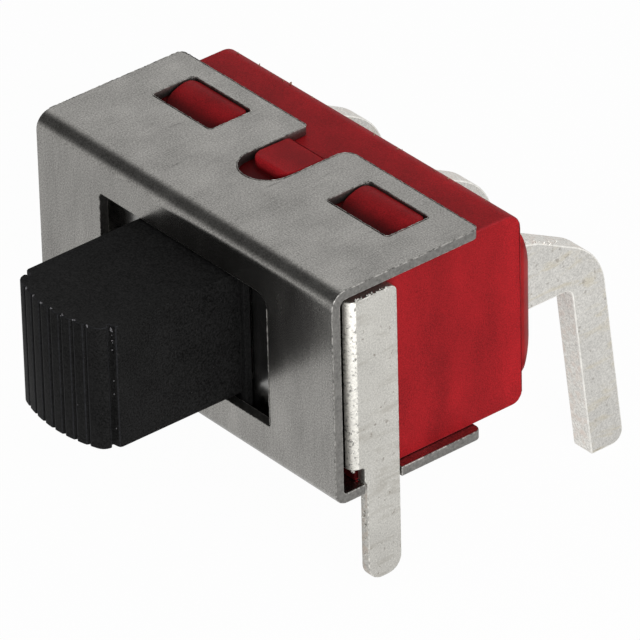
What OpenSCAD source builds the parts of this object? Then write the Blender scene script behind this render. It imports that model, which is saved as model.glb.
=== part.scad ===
// Slide switch for a printed circuit board: three-position rocker mechanism in a moulded housing,
// held by a folded sheet cover and a U bracket with two board legs. All sizes in millimetres.
// X runs along the switch, the knob faces -Y, the terminals leave at +Y and z = 0 is the board.

/* [Cover] */
// Length of the cover along the switch
cover_l = 12.7; // [12.4:0.1:16]
// Height of the front plate over its two flanges
cover_h = 6.73; // [6.5:0.01:8]
// Thickness of the cover's sheet
cover_t = 0.3; // [0.22:0.01:0.36]
// Depth of the flanges, from the front face to their rear edge
flange_d = 5.2; // [5.1:0.05:5.8]
// Outside radius of the cover's two folds
fold_r = 0.5; // [0.4:0.05:0.7]
// Radius of the upper corners of the front window
window_corner_r = 0.45; // [0.1:0.05:0.7]
// Length of each latch window in the flanges
latch_w = 2.56; // [2:0.02:3]
// Depth of each latch window, front to rear
latch_d = 1.52; // [1.2:0.02:1.7]
// Metal left between a latch window and the flange's rear edge
latch_rear = 0.63; // [0.45:0.01:0.8]
// Metal left between a latch window and the end of the cover
latch_edge = 1.31; // [0.8:0.01:1.7]
// Width of the half-round notch in the rear edge of each flange
notch_w = 1.72; // [1.4:0.02:2]
// Depth of that notch
notch_d = 2.98; // [2.5:0.02:3.2]
// Radius of the notch's right mouth corner
notch_mouth_r = 0.4; // [0.2:0.05:0.5]
// Radius of the notch's left mouth corner
notch_left_r = 0.12; // [0.05:0.01:0.4]

/* [Bracket] */
// Thickness of the bracket's sheet
bracket_t = 0.31; // [0.25:0.01:0.4]
// Space between the cover's plate and the bracket's web
bracket_gap = 0.3; // [0.24:0.01:0.4]
// Outside radius of the bracket's two bends
bracket_bend_r = 0.3; // [0.2:0.02:0.4]
// Distance from the cover's front face to the rear edge of the bracket's arms
arm_d = 2.27; // [2.1:0.01:2.6]
// Space between the upper flange and the top of the bracket
bracket_top_gap = 0.23; // [0.1:0.01:0.4]
// Space between the lower flange and the bracket's web
bracket_foot_gap = 0.55; // [0.4:0.01:0.7]
// Width of each board leg
leg_w = 1.16; // [0.95:0.01:1.3]
// Reach of each board leg below the board's surface
leg_l = 2.93; // [2.2:0.01:3.6]
// Corner radius at the tip of a board leg
leg_tip_r = 0.47; // [0.2:0.01:0.47]

/* [Housing] */
// Distance from the cover's front face to the housing's rear face
housing_d = 6.95; // [6.8:0.05:8]
// Thickness of the housing's two end walls
end_wall = 0.74; // [0.6:0.02:0.8]
// Thickness of the housing's roof and floor
roof_t = 1.0; // [0.8:0.02:1.1]
// Thickness of the housing's back wall
back_wall = 1.5; // [1.2:0.05:1.7]
// Radius of the upper rear edge
top_edge_r = 0.55; // [0.3:0.05:0.8]
// Radius of the lower rear edge
low_edge_r = 0.35; // [0.1:0.05:0.5]
// Radius of the two upright rear edges
side_edge_r = 0.06; // [0.02:0.01:0.3]
// Height of the latch wedges above the housing
wedge_h = 0.3; // [0.2:0.01:0.31]
// Run of the sloping front of an end wedge
wedge_run = 0.34; // [0.2:0.01:0.5]
// Corner radius of the end wedges
wedge_r = 0.27; // [0.1:0.01:0.4]

/* [Actuator] */
// Distance that the knob slides to each side of its middle position
travel = 1.3; // [1:0.05:1.5]
// Width of the knob where it leaves the window
knob_w = 3.96; // [3.4:0.02:4.4]
// Draft of each side of the knob, from the window to its ribbed front
knob_draft = 0.03; // [0:0.01:0.3]
// Height of the knob
knob_h = 3.86; // [3.4:0.02:4.1]
// Reach of the knob in front of the cover
knob_reach = 4.62; // [3:0.02:6]
// Radius of the curved front of the knob, seen from above
knob_front_r = 4.5; // [3.5:0.1:9]
// Inset of the ribbed front from each side of the knob
pad_inset = 0.16; // [0.08:0.01:0.25]
// Radius of the two upright corners of the ribbed front
knob_corner_r = 0.34; // [0.2:0.02:0.5]
// Number of small finger grooves in the front
groove_n = 7; // [3:2:7]
// Distance between finger grooves
groove_pitch = 0.43; // [0.36:0.01:0.44]
// Width of a finger groove
groove_w = 0.13; // [0.06:0.01:0.2]
// Depth of a finger groove
groove_d = 0.07; // [0.04:0.01:0.12]
// Width of the neck that passes through the bracket
neck_w = 1.6; // [1.4:0.05:1.8]
// Height of the neck
neck_h = 2.8; // [2.4:0.05:3.2]
// Width of the carriage that holds the plunger
carriage_w = 2.1; // [1.8:0.05:2.4]
// Space between the carriage and the ridge of the rocker
carriage_gap = 0.88; // [0.7:0.02:1.2]
// Thickness of the carriage in front of the plunger's bore
bore_floor = 0.65; // [0.4:0.05:0.8]

/* [Mechanism] */
// Diameter of the spring-loaded plunger
plunger_d = 0.9; // [0.7:0.02:1.1]
// Share of the run behind the bore's floor that the spring takes, the plunger has the rest
spring_share = 0.47; // [0.44:0.01:0.55]
// Diameter of the spring's wire
wire_d = 0.12; // [0.08:0.01:0.14]
// Number of turns of the spring
spring_turns = 6; // [4:1:7]
// Thickness of the rocker
rocker_t = 0.3; // [0.24:0.01:0.32]
// Height of the rocker
rocker_h = 2.4; // [2:0.05:2.8]
// Length of each wing past the centre of its contact button
wing_end = 0.4; // [0.3:0.02:0.46]
// Angle that each wing leans away from its contact at rest
rocker_tilt = 8; // [5:0.5:8]
// Distance from the rocker's pivot to the ridge on its front
rocker_rise = 0.52; // [0.48:0.01:0.6]
// Distance from the housing's back wall to the rocker's pivot
pivot_gap = 0.4; // [0.36:0.01:0.5]
// Width of the boss on the rocker's back
boss_w = 1.2; // [0.9:0.05:1.5]
// Radius of the centre terminal's nose in the boss's groove
nose_r = 0.25; // [0.2:0.01:0.28]
// Diameter of the contact buttons on the terminals
contact_d = 0.96; // [0.8:0.02:1.1]
// Thickness of the contact buttons on the terminals
contact_t = 0.2; // [0.12:0.01:0.22]
// Diameter of the rocker's own contact buttons
button_d = 0.8; // [0.6:0.05:0.9]
// Height of the rocker's own contact buttons
button_t = 0.15; // [0.1:0.01:0.17]

/* [Terminals] */
// Distance from an end wall of the cavity to the middle of the terminal beside it
end_space = 0.59; // [0.56:0.01:0.8]
// Thickness of a terminal, along the switch
term_t = 0.76; // [0.6:0.02:0.9]
// Height of a terminal's upper edge over the switch's axis where it leaves the housing
term_rise = 1.305; // [1:0.005:1.5]
// Depth of a terminal's lower edge under the switch's axis
term_drop = 0.985; // [0.8:0.005:1.1]
// Distance from the housing's rear face to the rear edge of a terminal at its tip
term_out = 4.55; // [4.2:0.05:6]
// Width of a terminal at its tip
tip_w = 1.2; // [1:0.02:1.4]
// Reach of a terminal's tip below the board's surface
tip_l = 3.38; // [2.6:0.02:4]
// Radius of the large outer bend of a terminal
bend_r = 2; // [1.6:0.1:3]
// Radius of the inner corner of a terminal
crook_r = 0.3; // [0.1:0.05:0.5]
// Radius of the rounded corner at a terminal's tip
tip_r = 0.38; // [0.2:0.02:0.5]

/* [Seal] */
// Strip of the housing's rear face left bare at each end of the seal
seal_edge = 0.12; // [0.08:0.01:0.5]
// Height of the potted seal
seal_h = 5; // [4:0.1:5.2]
// Rise of the seal above the housing's rear face
seal_rise = 0.55; // [0.3:0.05:0.8]
// Rim of the housing round the recess that the seal fills
recess_rim = 0.5; // [0.3:0.05:0.7]
// Depth of that recess
seal_d = 0.35; // [0.2:0.05:0.5]

/* [Clearances] */
// Gap between the housing and the sheet parts around it
body_gap = 0.01; // [0.005:0.005:0.03]
// Gap between each wedge and the edges of its latch window
latch_gap = 0.07; // [0.04:0.01:0.15]
// Gap between the actuator's lip and the sheets in front of and behind it
lip_gap = 0.04; // [0.02:0.01:0.08]
// Gap above and below the knob in the front window
knob_gap = 0.145; // [0.08:0.005:0.2]
// Gap left beside the knob at the ends of its travel
stroke_gap = 0.32; // [0.1:0.02:0.5]
// Gap left beside the neck at the ends of its travel
neck_gap = 0.05; // [0.03:0.01:0.1]
// Gap between the plunger and its bore, on the radius
bore_gap = 0.03; // [0.02:0.005:0.06]
// Gap between the plunger's tip and the rocker
tip_gap = 0.06; // [0.05:0.01:0.12]
// Gap between closed contacts
contact_gap = 0.02; // [0.015:0.005:0.05]
// Gap between a terminal and its slot in the housing
slot_gap = 0.02; // [0.01:0.01:0.05]

/* [Hidden] */
$fn = 48;
eps = 0.05;

// The switch's own axis lies a little below the middle of the cover
axis_z = cover_h / 2 - 0.02;
knob_z = axis_z + 0.05;
half_l = cover_l / 2;
latch_x = half_l - latch_edge - latch_w / 2;

// Front window, wide enough for the knob and its travel
window_x = knob_w / 2 + travel + stroke_gap;
window_z = knob_h / 2 + knob_gap;

// Latch windows and the wedges in them
latch_y1 = flange_d - latch_rear;
latch_y0 = latch_y1 - latch_d;
wedge_y1 = latch_y1 - latch_gap;
wedge_y0 = latch_y0 + 0.45 * latch_d;
notch_y = flange_d - notch_d + notch_w / 2;

// Bracket
web_y0 = cover_t + bracket_gap;
web_y1 = web_y0 + bracket_t;
bracket_z1 = cover_h - cover_t - bracket_top_gap;
bracket_z0 = cover_t + bracket_foot_gap;
slot_x = neck_w / 2 + travel + neck_gap;
slot_z = neck_h / 2 + 3 * neck_gap;
leg_y0 = arm_d - leg_w;
leg_slot_gap = 0.06;

// Housing
body_x = half_l - bracket_t - body_gap;
body_z0 = cover_t + body_gap;
body_z1 = cover_h - cover_t - body_gap;
body_y0 = web_y1 + body_gap;
cavity_x = body_x - end_wall;
cavity_z0 = body_z0 + roof_t;
cavity_z1 = body_z1 - roof_t;
cavity_y1 = housing_d - back_wall;
recess_y = housing_d - seal_d;
seal_x = body_x - seal_edge;
recess_x = body_x - recess_rim;

// Actuator
knob_front = -knob_reach;
knob_front_w = knob_w - 2 * knob_draft;
lip_y0 = cover_t + lip_gap;
lip_y1 = web_y0 - lip_gap;
lip_x = knob_w / 2 + 0.21;
lip_z = window_z + 0.325;
carriage_y0 = web_y1 + lip_gap + body_gap;
carriage_h = neck_h + 0.1;

// Rocker: its closed wing is square to the switch, its pivot is on the centre terminal
pitch = cavity_x - end_space;
rocker_l = pitch + wing_end;
pivot_y = cavity_y1 - pivot_gap;
carriage_y1 = pivot_y - rocker_rise - carriage_gap;
wing_y0 = pivot_y - rocker_rise * cos(rocker_tilt);
wing_y1 = wing_y0 + rocker_t;
contact_y = wing_y1 + button_t + contact_gap;

// Plunger and spring
plunger_y1 = pivot_y - rocker_rise - tip_gap;
bore_r = plunger_d / 2 + bore_gap;
spring_r = plunger_d / 2 - wire_d / 2 - 0.05;
spring_y0 = carriage_y0 + bore_floor;
spring_y1 = spring_y0 + spring_share * (plunger_y1 - spring_y0);
plunger_y0 = spring_y1;

// Corner points of a rounded corner at b, between the sides to a and to c
function unit(v) = v / norm(v);
function fillet(a, b, c, r, n = 8) =
    let (
        u = unit(a - b),
        w = unit(c - b),
        half = acos(u * w) / 2,
        reach = r / tan(half),
        centre = b + unit(u + w) * r / sin(half),
        p = b + u * reach,
        q = b + w * reach,
        a0 = atan2(p[1] - centre[1], p[0] - centre[0]),
        a1 = atan2(q[1] - centre[1], q[0] - centre[0]),
        turn = a1 - a0 > 180 ? a1 - a0 - 360 : a1 - a0 < -180 ? a1 - a0 + 360 : a1 - a0
    )
    r <= 0 ? [b] : [for (i = [0:n]) centre + r * [cos(a0 + turn * i / n), sin(a0 + turn * i / n)]];

// Outline through the corners c = [x, y, radius], each rounded by its own radius
function outline(c, n = 8) = [
    for (i = [0:len(c) - 1])
        let (
            a = c[(i + len(c) - 1) % len(c)],
            b = c[i],
            d = c[(i + 1) % len(c)]
        )
        each fillet([a[0], a[1]], [b[0], b[1]], [d[0], d[1]], b[2], n)
];

// Corners of a box with one radius for its lower and one for its upper corners
function box_corners(x0, y0, x1, y1, r_low, r_high) =
    [[x0, y0, r_low], [x1, y0, r_low], [x1, y1, r_high], [x0, y1, r_high]];

// Prisms along each axis. A profile along X is drawn in Y and Z, one along Y in X and Z
module along_x(x0, x1) {
    translate([x0, 0, 0]) rotate([90, 0, 90]) linear_extrude(height = x1 - x0) children();
}
module along_y(y0, y1) {
    translate([0, y1, 0]) rotate([90, 0, 0]) linear_extrude(height = y1 - y0) children();
}
module along_z(z0, z1) {
    translate([0, 0, z0]) linear_extrude(height = z1 - z0) children();
}
module both_ends() {
    children();
    mirror([1, 0, 0]) children();
}
module rod(r, y0, y1) {
    translate([0, y0, 0]) rotate([-90, 0, 0]) cylinder(r = r, h = y1 - y0);
}

// Cover: a channel folded from sheet, with its front window, latch windows, notches and leg slots
module channel_profile() {
    inner = fold_r - cover_t;
    difference() {
        polygon(outline([[0, 0, fold_r - 0.1], [flange_d, 0, 0], [flange_d, cover_h, 0],
            [0, cover_h, fold_r]]));
        polygon(outline([[cover_t, cover_t, inner - 0.08], [flange_d + 1, cover_t, 0],
            [flange_d + 1, cover_h - cover_t, 0], [cover_t, cover_h - cover_t, inner]]));
    }
}
module notch_corner(half, r) {
    difference() {
        translate([half - eps, flange_d - r]) square([r + eps, 1]);
        translate([half + r, flange_d - r]) circle(r = r);
    }
}
module notch_outline() {
    half = notch_w / 2;
    translate([0, notch_y]) circle(r = half, $fn = 64);
    translate([-half, notch_y]) square([notch_w, flange_d + 1 - notch_y]);
    notch_corner(half, notch_mouth_r);
    mirror([1, 0]) notch_corner(half, notch_left_r);
}
module cover() color("silver") {
    intersection() {
        difference() {
            along_x(-half_l, half_l) channel_profile();
            along_y(-1, 2 * cover_t)
                polygon(outline(box_corners(-window_x, axis_z - window_z, window_x,
                    axis_z + window_z, 0.1, window_corner_r)));
            along_z(-1, cover_h + 1) {
                notch_outline();
                for (s = [-1, 1])
                    polygon(outline(box_corners(s * latch_x - latch_w / 2, latch_y0,
                        s * latch_x + latch_w / 2, latch_y1, 0.12, 0.12)));
            }
            // Slots at the ends of the lower flange, which the board legs pass through
            both_ends() along_z(-1, cover_t + eps)
                polygon(outline(box_corners(half_l - bracket_t - leg_slot_gap, leg_y0 - leg_slot_gap,
                    half_l + 1, arm_d + leg_slot_gap, 0.08, 0.08)));
        }
        // Rounded rear corners of the flanges
        along_z(-1, cover_h + 1)
            polygon(outline(box_corners(-half_l, -1, half_l, flange_d, 0, 0.22)));
    }
}

// Bracket: a U of sheet with a slot for the neck and a leg at the foot of each arm
module bracket_plan() {
    difference() {
        polygon(outline(box_corners(-half_l, web_y0, half_l, arm_d, bracket_bend_r, 0)));
        polygon(outline(box_corners(bracket_t - half_l, web_y1, half_l - bracket_t, arm_d + 1,
            0.05, 0)));
    }
}
module arm_side() {
    relief = 0.12;
    z_notch = bracket_z0 - 0.48;
    polygon(outline([
        [web_y0 - 1, bracket_z0, 0], [leg_y0 - 0.08, bracket_z0, relief],
        [leg_y0 - 0.08, z_notch, 0.05], [leg_y0, z_notch - 0.1, 0],
        [leg_y0, -leg_l, leg_tip_r], [arm_d, -leg_l, leg_tip_r],
        [arm_d, bracket_z1, 0.22], [web_y0 - 1, bracket_z1, 0]
    ]));
}
module bracket() color("gainsboro") {
    difference() {
        intersection() {
            along_z(-leg_l, bracket_z1) bracket_plan();
            along_x(-half_l, half_l) arm_side();
        }
        along_y(web_y0 - 1, web_y1 + eps)
            polygon(outline(box_corners(-slot_x, axis_z - slot_z, slot_x, axis_z + slot_z, 0.2, 0.2)));
        // Below the web only the two legs go on
        along_z(-leg_l - 1, bracket_z0)
            translate([-(half_l - bracket_t), -1]) square([2 * (half_l - bracket_t), arm_d + 2]);
    }
}

// Terminals: stamped blanks, each of one outline, with the inner end in the housing
term_top = axis_z + term_rise;
term_under = axis_z - term_drop;
term_reach = housing_d + term_out;
term_z0 = term_under + 0.1;
term_z1 = term_top - 0.2;
function blank_corners(y_in) = [
    [y_in, term_z0, 0.08],
    [recess_y, term_z0, 0],
    [recess_y, term_under, 0],
    [crook_y, term_under, crook_r],
    [term_reach - tip_w, -tip_l, 0.06],
    [term_reach, -tip_l, tip_r],
    [shoulder_y, shoulder_z, bend_r],
    [housing_d + 0.386 * (shoulder_y - housing_d), term_top - 0.3, 0.6],
    [housing_d + 0.236 * (shoulder_y - housing_d), term_top - 0.14, 0.6],
    [recess_y, term_top + 0.05, 0],
    [recess_y, term_z1, 0],
    [y_in, term_z1, 0.08]
];
splay = 7;
shoulder_z = term_top - 1.47;
shoulder_y = term_reach - (shoulder_z + tip_l) * tan(splay);
crook_y = term_reach - tip_w - (term_under + tip_l) * tan(splay);
module blank(y_in) {
    along_x(-term_t / 2, term_t / 2) polygon(outline(blank_corners(y_in), 12));
}
module end_terminal(s) color("lightgray") translate([s * pitch, 0, 0]) blank(contact_y + contact_t);
module terminal_centre() color("lightgray") {
    neck_y = pivot_y + 0.2;
    blank(neck_y + 0.1);
    along_z(term_z0 + 0.02, term_z1 - 0.02) {
        translate([0, pivot_y]) circle(r = nose_r, $fn = 40);
        polygon([[-nose_r, pivot_y], [nose_r, pivot_y], [nose_r, neck_y], [term_t / 2, neck_y + 0.1],
            [term_t / 2, neck_y + 0.3], [-term_t / 2, neck_y + 0.3], [-term_t / 2, neck_y + 0.1],
            [-nose_r, neck_y]]);
    }
}
module terminal_slots(gap) {
    for (s = [-1, 0, 1])
        translate([s * pitch - term_t / 2 - gap, cavity_y1 - eps, term_z0 - gap])
            cube([term_t + 2 * gap, back_wall + eps, term_z1 - term_z0 + 2 * gap]);
}
module contact(s) color("whitesmoke")
    translate([s * pitch, 0, axis_z + 0.005]) rod(contact_d / 2, contact_y, contact_y + contact_t);

// Housing: one moulding, open at the front, with latch wedges on its roof and floor
module end_wedge() {
    half = latch_w / 2 - 1.4 * latch_gap;
    intersection() {
        along_x(latch_x - half, latch_x + half)
            polygon(outline([[wedge_y0, body_z1 - eps, 0], [wedge_y1, body_z1 - eps, 0],
                [wedge_y1, body_z1 + wedge_h - 0.02, 0.08],
                [wedge_y0 + wedge_run, body_z1 + wedge_h, 0.4], [wedge_y0, body_z1 + 0.03, 0]], 4));
        along_z(body_z1 - 1, body_z1 + 1)
            polygon(outline(box_corners(latch_x - half, wedge_y0, latch_x + half, wedge_y1,
                wedge_r, wedge_r)));
    }
}
module centre_wedge() {
    half = notch_w / 2 - latch_gap;
    front = notch_y - half + 0.7;
    intersection() {
        along_x(-half, half)
            polygon(outline([[front, body_z1 - eps, 0], [wedge_y1, body_z1 - eps, 0],
                [wedge_y1, body_z1 + wedge_h - 0.03, 0.08],
                [front + 0.12, body_z1 + wedge_h, 0.15], [front, body_z1 + 0.12, 0]], 4));
        along_z(body_z1 - 1, body_z1 + 1)
            polygon(outline(box_corners(-half, front, half, wedge_y1, 0.5, 0.15)));
    }
}
module wedges() {
    both_ends() end_wedge();
    centre_wedge();
}
module housing() color("firebrick") {
    mid = (body_z0 + body_z1) / 2;
    difference() {
        union() {
            intersection() {
                along_x(-body_x, body_x)
                    polygon(outline([[body_y0, body_z0, 0], [housing_d, body_z0, low_edge_r],
                        [housing_d, body_z1, top_edge_r], [body_y0, body_z1, 0]]));
                along_z(body_z0, body_z1)
                    polygon(outline(box_corners(-body_x, body_y0, body_x, housing_d, 0, side_edge_r)));
            }
            wedges();
            translate([0, 0, 2 * mid]) mirror([0, 0, 1]) wedges();
        }
        translate([-cavity_x, body_y0 - 1, cavity_z0])
            cube([2 * cavity_x, cavity_y1 - body_y0 + 1, cavity_z1 - cavity_z0]);
        along_y(recess_y, housing_d + 1) recess_outline();
        terminal_slots(slot_gap);
    }
}

// Actuator: knob, lip behind the window, neck through the bracket and carriage for the plunger
pad_x = knob_front_w / 2 - pad_inset;
corner_x = pad_x - knob_corner_r;
arc_y = knob_front + knob_front_r;
corner_y = arc_y - sqrt(pow(knob_front_r - knob_corner_r, 2) - pow(corner_x, 2));
corner_a = asin(corner_x / (knob_front_r - knob_corner_r));
function knob_side(s) = [
    for (i = [0:6])
        let (a = corner_a + (90 - corner_a) * i / 6)
        [s * (corner_x + knob_corner_r * sin(a)), corner_y - knob_corner_r * cos(a)]
];
// Deep groove behind each corner of the ribbed front, then the shoulder of the knob's side
function knob_shoulder(s) = [
    [s * (pad_x - 0.11), corner_y + 0.06], [s * (pad_x - 0.09), corner_y + 0.12],
    [s * (pad_x + 0.05), corner_y + 0.14], [s * (knob_front_w / 2 - 0.03), corner_y + 0.17],
    [s * knob_front_w / 2, corner_y + 0.24], [s * knob_w / 2, lip_y0 + eps]
];
function reversed(p) = [for (i = [len(p) - 1:-1:0]) p[i]];
function knob_arc(n = 24) = [
    for (i = [1:n - 1])
        let (a = -corner_a + 2 * corner_a * i / n)
        [knob_front_r * sin(a), arc_y - knob_front_r * cos(a)]
];
module knob_plan() {
    difference() {
        polygon(concat(reversed(knob_shoulder(-1)), reversed(knob_side(-1)), knob_arc(), knob_side(1),
            knob_shoulder(1)));
        for (i = [0:groove_n - 1])
            let (a = asin((i - (groove_n - 1) / 2) * groove_pitch / knob_front_r))
            translate([knob_front_r * sin(a), arc_y - knob_front_r * cos(a)]) rotate(a)
                polygon([[-groove_w / 2, -eps], [groove_w / 2, -eps], [groove_w / 2, 0],
                    [0, groove_d], [-groove_w / 2, 0]]);
    }
}
module actuator() color("#1d1d1f") {
    difference() {
        union() {
            along_z(knob_z - knob_h / 2, knob_z + knob_h / 2) knob_plan();
            along_y(lip_y0, lip_y1)
                polygon(outline(box_corners(-lip_x, axis_z - lip_z, lip_x, axis_z + lip_z, 0.2, 0.2), 4));
            translate([-neck_w / 2, lip_y0, axis_z - neck_h / 2])
                cube([neck_w, carriage_y0 + eps - lip_y0, neck_h]);
            along_y(carriage_y0, carriage_y1)
                polygon(outline(box_corners(-carriage_w / 2, axis_z - carriage_h / 2,
                    carriage_w / 2, axis_z + carriage_h / 2, 0.15, 0.15), 4));
        }
        translate([0, 0, axis_z]) rod(bore_r, spring_y0, carriage_y1 + 1);
    }
}

// Plunger with a ball tip
module plunger() color("goldenrod") translate([0, 0, axis_z]) {
    r = plunger_d / 2;
    rod(r, plunger_y0, plunger_y1 - r);
    translate([0, plunger_y1 - r, 0]) sphere(r = r);
}

// Compression spring behind the plunger: one wire swept along a helix
function coil_point(t) = [
    spring_r * cos(360 * t * spring_turns),
    spring_y0 + wire_d / 2 + (spring_y1 - spring_y0 - wire_d) * t,
    spring_r * sin(360 * t * spring_turns)
];
module spring() color("lightsteelblue") translate([0, 0, axis_z]) {
    sides = 8;
    rings = 16 * spring_turns;
    pts = [
        for (i = [0:rings], k = [0:sides - 1])
            let (
                t = i / rings,
                a = 360 * t * spring_turns,
                out = [cos(a), 0, sin(a)],
                b = 360 * k / sides
            )
            coil_point(t) + wire_d / 2 * (out * cos(b) + [0, 1, 0] * sin(b))
    ];
    faces = concat(
        [[for (k = [0:sides - 1]) k]],
        [[for (k = [sides - 1:-1:0]) rings * sides + k]],
        [
            for (i = [0:rings - 1], k = [0:sides - 1])
                let (
                    p = i * sides + k,
                    q = i * sides + (k + 1) % sides
                )
                each [[p, p + sides, q], [q, p + sides, q + sides]]
        ]
    );
    polyhedron(points = pts, faces = faces, convexity = 10);
}

// Rocker: two wings that meet in a ridge, and a boss with the groove for its pivot
module wing_turned(s) {
    translate([0, pivot_y, 0]) rotate([0, 0, -s * rocker_tilt]) translate([0, -pivot_y, 0]) children();
}
module wing_plan(s) {
    intersection() {
        wing_turned(s) translate([s > 0 ? -1 : -rocker_l, wing_y0]) square([rocker_l + 1, rocker_t]);
        translate([s > 0 ? 0 : -2 * rocker_l, 0]) square([2 * rocker_l, 4 * pivot_y]);
    }
}
module rocker() color("peru") {
    z0 = axis_z - rocker_h / 2;
    difference() {
        along_z(z0, z0 + rocker_h) {
            wing_plan(1);
            wing_plan(-1);
            translate([-boss_w / 2, wing_y1 - 0.1]) square([boss_w, pivot_y - wing_y1 + 0.1]);
        }
        translate([0, pivot_y, z0 - 1]) cylinder(r = nose_r + 0.03, h = rocker_h + 2);
    }
}
module rocker_contact(s) color("whitesmoke")
    wing_turned(s) translate([s * pitch, 0, axis_z]) rod(button_d / 2, wing_y1, wing_y1 + button_t);

// Seal: potting in the recess, domed behind the housing and cast round the terminals
module recess_outline() {
    half = seal_h / 2 - recess_rim + seal_edge;
    polygon(outline(box_corners(-recess_x, axis_z - half, recess_x, axis_z + half, 0.4, 0.4)));
}
module seal_dome() {
    dome_r = (pow(seal_h / 2, 2) + pow(seal_rise, 2)) / (2 * seal_rise);
    intersection() {
        along_x(-seal_x, seal_x) intersection() {
            translate([housing_d + seal_rise - dome_r, axis_z]) circle(r = dome_r, $fn = 120);
            translate([housing_d, axis_z - seal_h / 2]) square([seal_rise + 1, seal_h]);
        }
        along_y(housing_d - 1, housing_d + seal_rise + 1)
            polygon(outline(box_corners(-seal_x, axis_z - seal_h / 2, seal_x, axis_z + seal_h / 2, 0.5, 0.5)));
        // Rounded ends
        along_z(-1, cover_h)
            polygon(outline([[-seal_x, housing_d - 1, 0], [seal_x, housing_d - 1, 0],
                [seal_x, housing_d + seal_rise - 0.03, 0.35], [seal_x - 1, housing_d + seal_rise, 1],
                [1 - seal_x, housing_d + seal_rise, 1], [-seal_x, housing_d + seal_rise - 0.03, 0.35]]));
    }
}
module seal() color("#5a0f16") {
    difference() {
        union() {
            seal_dome();
            along_y(recess_y, housing_d + 0.1) recess_outline();
        }
        for (s = [-1, 0, 1])
            translate([s * pitch, 0, 0]) blank(recess_y - 1);
    }
}

cover();
bracket();
housing();
actuator();
plunger();
spring();
rocker();
rocker_contact(-1);  // rocker_contact_left
rocker_contact(1);  // rocker_contact_right
end_terminal(-1);  // terminal_left
terminal_centre();
end_terminal(1);  // terminal_right
contact(-1);  // contact_left
contact(1);  // contact_right
seal();
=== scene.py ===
"""Slide switch for a printed circuit board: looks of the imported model, laid out as an add-on."""

import math
import random

import bmesh
import bpy
from bpy.props import FloatProperty, FloatVectorProperty, IntProperty, PointerProperty
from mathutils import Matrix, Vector


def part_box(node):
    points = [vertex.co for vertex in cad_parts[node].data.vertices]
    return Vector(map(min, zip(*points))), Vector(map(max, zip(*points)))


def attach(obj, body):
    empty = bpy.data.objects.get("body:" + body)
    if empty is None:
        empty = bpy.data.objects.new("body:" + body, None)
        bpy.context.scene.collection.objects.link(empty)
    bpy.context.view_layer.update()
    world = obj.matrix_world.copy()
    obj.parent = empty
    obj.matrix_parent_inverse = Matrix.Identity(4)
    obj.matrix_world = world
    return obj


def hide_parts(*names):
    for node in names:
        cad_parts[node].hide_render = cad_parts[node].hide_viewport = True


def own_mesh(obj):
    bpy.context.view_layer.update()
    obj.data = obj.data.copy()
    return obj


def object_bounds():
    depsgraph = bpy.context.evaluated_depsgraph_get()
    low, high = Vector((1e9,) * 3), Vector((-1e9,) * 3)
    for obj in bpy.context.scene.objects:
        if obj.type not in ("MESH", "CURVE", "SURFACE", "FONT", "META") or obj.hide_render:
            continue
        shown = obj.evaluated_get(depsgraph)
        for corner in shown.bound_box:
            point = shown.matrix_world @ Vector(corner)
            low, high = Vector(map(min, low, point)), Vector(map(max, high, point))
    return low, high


bl_info = {
    "name": "Slide switch",
    "version": (1, 0, 0),
    "blender": (4, 5, 0),
    "location": "3D View > Sidebar > Slide switch",
    "description": "Builds a right-angle slide switch with its sheet metal, mouldings and studio",
    "category": "Object",
}

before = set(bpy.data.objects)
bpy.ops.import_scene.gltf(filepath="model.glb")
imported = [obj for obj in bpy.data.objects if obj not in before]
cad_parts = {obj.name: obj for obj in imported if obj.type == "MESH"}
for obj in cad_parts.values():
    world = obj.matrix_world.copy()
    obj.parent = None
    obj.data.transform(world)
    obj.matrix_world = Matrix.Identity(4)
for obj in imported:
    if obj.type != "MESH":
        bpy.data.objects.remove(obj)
cad_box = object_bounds()
MM = 0.001

# Corners of the solids, in metres
COVER_LOW, COVER_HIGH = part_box("cover")
HOUSING_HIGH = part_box("housing")[1]
KNOB_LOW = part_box("actuator")[0]
BRACKET_LOW, BRACKET_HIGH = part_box("bracket")
SPRING_LOW, SPRING_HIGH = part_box("spring")

# What those corners don't give is in millimetres from here on. The cover's front window: half
# its width and the radius of its corners
WINDOW_HALF = 3.6
WINDOW_ARC = 0.45
# The housing: its flat roof, and how far out the end wedges have their middles
HOUSING_ROOF = 6.42
WEDGE_MIDDLE = 3.76
# The knob: its top, its right side at the ribs, the curve of its front, the rear end of its ribs
# and their pitch
KNOB_TOP = 5.325
KNOB_SIDE = 1.93
KNOB_RADIUS = 4.5
KNOB_RIBS_END = -3.4
RIB_PITCH = 0.43
# The bracket: the thickness of its strip, the lower edge of its arms and the front of its legs
STRIP = 0.31
ARM_FOOT = 0.85
LEG_FRONT = 1.12
# The terminals stand this far apart
TERMINAL_PITCH = 4.7
# Two places nearer to each other than this are the same
TOUCH = 0.001

# Sockets of a Mix node that mixes two colours: their share, the two colours and the result
SHARE, FIRST, SECOND, MIXED = 0, 6, 7, 2


# Colours and nodes


def linear(code):
    """Linear RGB of an sRGB hex colour such as "#a81c2c"."""
    parts = [int(code[i : i + 2], 16) / 255 for i in (1, 3, 5)]
    return tuple(v / 12.92 if v <= 0.04045 else ((v + 0.055) / 1.055) ** 2.4 for v in parts)


def rgba(code):
    """RGBA of an sRGB hex colour, as a node's input takes it."""
    return (*linear(code), 1.0)


def output(source):
    """A socket as it is, or the first output of a node."""
    return source.outputs[0] if isinstance(source, bpy.types.Node) else source


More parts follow.
